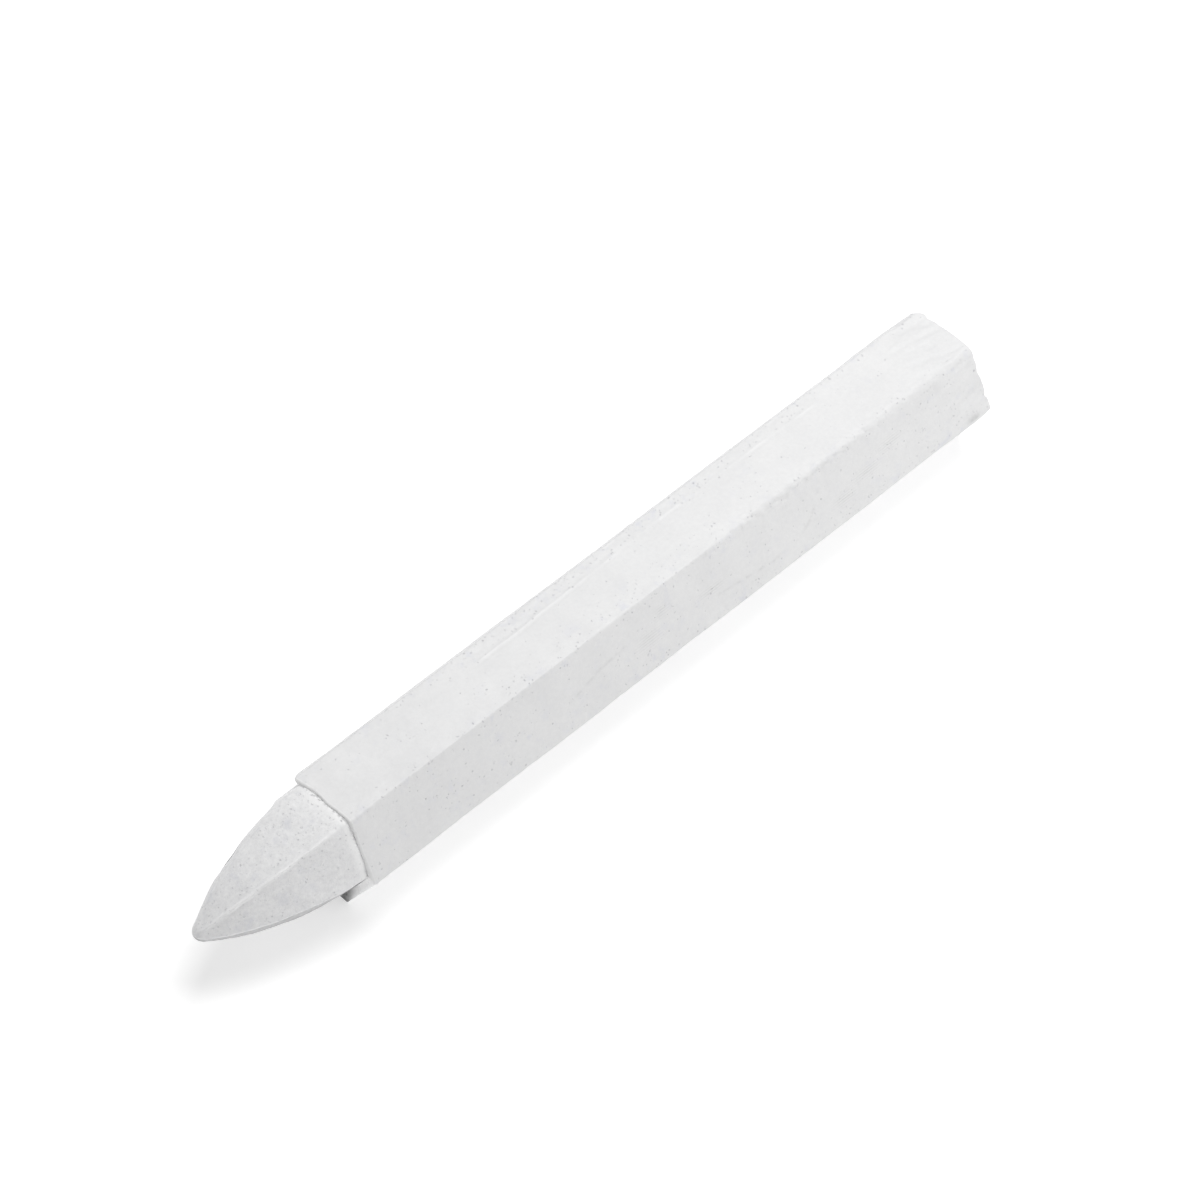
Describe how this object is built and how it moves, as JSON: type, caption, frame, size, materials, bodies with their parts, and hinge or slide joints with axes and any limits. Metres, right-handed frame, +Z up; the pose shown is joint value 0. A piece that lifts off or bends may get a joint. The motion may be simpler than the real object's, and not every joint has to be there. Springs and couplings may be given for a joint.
{
  "type": "marking crayon",
  "caption": "Hexagonal white marking crayon with a thin casing over its shank and a bare six-sided ogive point with a blunt nose.",
  "frame": {"origin": "middle of the crayon's overall length, on the surface that it lies on", "axes": "+X along the crayon's axis towards the nose, +Y across it, +Z up from the flat that it lies on"},
  "size_m": [0.115, 0.016, 0.014],
  "materials": {
    "casing_white": "smooth satin white skin with fine dark pinholes, light scratches and worn long edges",
    "core_white": "matt off-white filled wax, pitted and slightly mottled, with soft raised ridges on the point"
  },
  "bodies": {
    "root": {"casing": "casing_white", "core": "core_white"}
  },
  "joints": []
}
